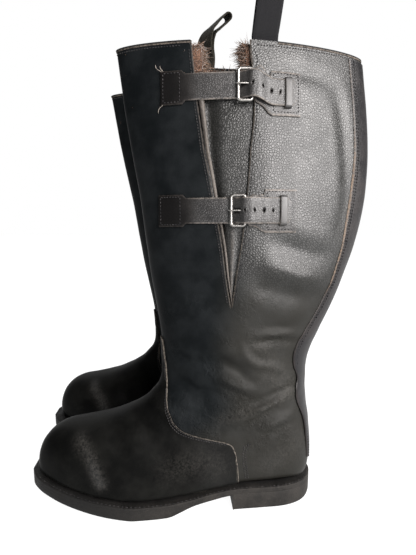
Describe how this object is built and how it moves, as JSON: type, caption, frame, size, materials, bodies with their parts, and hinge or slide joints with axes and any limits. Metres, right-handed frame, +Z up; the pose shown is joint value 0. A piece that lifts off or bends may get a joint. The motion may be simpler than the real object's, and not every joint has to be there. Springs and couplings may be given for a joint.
{
  "type": "pair of tall fleece-lined boots",
  "caption": "Tall pull-on leather boots with a fleece lining, a buckled side gusset in each shaft, low stacked heels and standing webbing pull loops.",
  "frame": {"origin": "on the floor, at the centre of the pair's bounding box", "axes": "+Z up, toes towards -Y, the left boot at +X and the right boot at -X"},
  "size_m": [0.263, 0.369, 0.5438],
  "materials": {
    "black_leather": "pebbled black leather with a soft sheen, smoother over the foot",
    "worn_leather": "worn grey-brown strap leather with pale cut edges",
    "fleece": "brown curly sheep's fleece",
    "sole_rubber": "matt dark sole edge, dusty",
    "board": "leatherboard and cork",
    "steel": "worn nickelled steel",
    "webbing": "charcoal twill webbing"
  },
  "bodies": {
    "left_boot": {"left_vamp": "black_leather", "left_shaft": "black_leather", "left_gusset": "black_leather", "left_backstay": "black_leather", "left_fleece_lining": "fleece", "left_toe_puff": "board", "left_heel_counter": "board", "left_insole": "board", "left_cork_filler": "board", "left_shank": "steel", "left_welt": "sole_rubber", "left_outsole": "sole_rubber", "left_heel_block": "sole_rubber", "left_heel_lift": "sole_rubber", "left_upper_billet": "worn_leather", "left_upper_chape": "worn_leather", "left_upper_keeper": "worn_leather", "left_lower_billet": "worn_leather", "left_lower_chape": "worn_leather", "left_lower_keeper": "worn_leather", "left_outer_loop_tab": "webbing", "left_inner_loop_tab": "webbing"},
    "left_upper_buckle": {"left_upper_buckle": "steel"},
    "left_lower_buckle": {"left_lower_buckle": "steel"},
    "left_upper_prong": {"left_upper_prong": "steel"},
    "left_lower_prong": {"left_lower_prong": "steel"},
    "left_outer_pull_loop": {"left_outer_pull_loop": "webbing"},
    "left_inner_pull_loop": {"left_inner_pull_loop": "webbing"},
    "right_boot": {"right_vamp": "black_leather", "right_shaft": "black_leather", "right_gusset": "black_leather", "right_backstay": "black_leather", "right_fleece_lining": "fleece", "right_toe_puff": "board", "right_heel_counter": "board", "right_insole": "board", "right_cork_filler": "board", "right_shank": "steel", "right_welt": "sole_rubber", "right_outsole": "sole_rubber", "right_heel_block": "sole_rubber", "right_heel_lift": "sole_rubber", "right_upper_billet": "worn_leather", "right_upper_chape": "worn_leather", "right_upper_keeper": "worn_leather", "right_lower_billet": "worn_leather", "right_lower_chape": "worn_leather", "right_lower_keeper": "worn_leather", "right_outer_loop_tab": "webbing", "right_inner_loop_tab": "webbing"},
    "right_upper_buckle": {"right_upper_buckle": "steel"},
    "right_lower_buckle": {"right_lower_buckle": "steel"},
    "right_upper_prong": {"right_upper_prong": "steel"},
    "right_lower_prong": {"right_lower_prong": "steel"},
    "right_outer_pull_loop": {"right_outer_pull_loop": "webbing"},
    "right_inner_pull_loop": {"right_inner_pull_loop": "webbing"}
  },
  "joints": [
    {"name": "right_boot_apart", "type": "slide", "parent": "left_boot", "child": "right_boot", "axis": [-1, 0, 0], "range_m": [0, 0.15]},
    {"name": "left_upper_buckle_hinge", "type": "hinge", "parent": "left_boot", "child": "left_upper_buckle", "pos_m": [0.12105, 0.05287, 0.41719], "axis": [-0.0492, 0.0064, 0.9988], "range_deg": [0, 14]},
    {"name": "left_upper_prong_hinge", "type": "hinge", "parent": "left_upper_buckle", "child": "left_upper_prong", "pos_m": [0.12105, 0.05287, 0.41719], "axis": [-0.0492, 0.0064, 0.9988], "range_deg": [0, 12]},
    {"name": "left_lower_buckle_hinge", "type": "hinge", "parent": "left_boot", "child": "left_lower_buckle", "pos_m": [0.12542, 0.04655, 0.30404], "axis": [-0.0099, 0, 1], "range_deg": [0, 14]},
    {"name": "left_lower_prong_hinge", "type": "hinge", "parent": "left_lower_buckle", "child": "left_lower_prong", "pos_m": [0.12542, 0.04655, 0.30404], "axis": [-0.0099, 0, 1], "range_deg": [0, 12]},
    {"name": "left_outer_loop_fold", "type": "hinge", "parent": "left_boot", "child": "left_outer_pull_loop", "pos_m": [0.109, 0.06605, 0.464], "axis": [0, 1, 0], "range_deg": [-60, 60], "stiffness_Nm_per_rad": 0.04},
    {"name": "left_inner_loop_fold", "type": "hinge", "parent": "left_boot", "child": "left_inner_pull_loop", "pos_m": [0.0415, 0.01405, 0.464], "axis": [0, 1, 0], "range_deg": [-60, 60], "stiffness_Nm_per_rad": 0.04},
    {"name": "right_upper_buckle_hinge", "type": "hinge", "parent": "right_boot", "child": "right_upper_buckle", "pos_m": [-0.12105, 0.02867, 0.41719], "axis": [-0.0492, 0.0355, -0.9982], "range_deg": [0, 14]},
    {"name": "right_upper_prong_hinge", "type": "hinge", "parent": "right_upper_buckle", "child": "right_upper_prong", "pos_m": [-0.12105, 0.02867, 0.41719], "axis": [-0.0492, 0.0355, -0.9982], "range_deg": [0, 12]},
    {"name": "right_lower_buckle_hinge", "type": "hinge", "parent": "right_boot", "child": "right_lower_buckle", "pos_m": [-0.12542, 0.02709, 0.30404], "axis": [-0.0099, 0.0419, -0.9991], "range_deg": [0, 14]},
    {"name": "right_lower_prong_hinge", "type": "hinge", "parent": "right_lower_buckle", "child": "right_lower_prong", "pos_m": [-0.12542, 0.02709, 0.30404], "axis": [-0.0099, 0.0419, -0.9991], "range_deg": [0, 12]},
    {"name": "right_outer_loop_fold", "type": "hinge", "parent": "right_boot", "child": "right_outer_pull_loop", "pos_m": [-0.109, 0.03988, 0.464], "axis": [0, -1, 0], "range_deg": [-4, 90], "stiffness_Nm_per_rad": 0.04},
    {"name": "right_inner_loop_fold", "type": "hinge", "parent": "right_boot", "child": "right_inner_pull_loop", "pos_m": [-0.0415, -0.01212, 0.464], "axis": [0, 1, 0], "range_deg": [-6, 90], "stiffness_Nm_per_rad": 0.04}
  ]
}
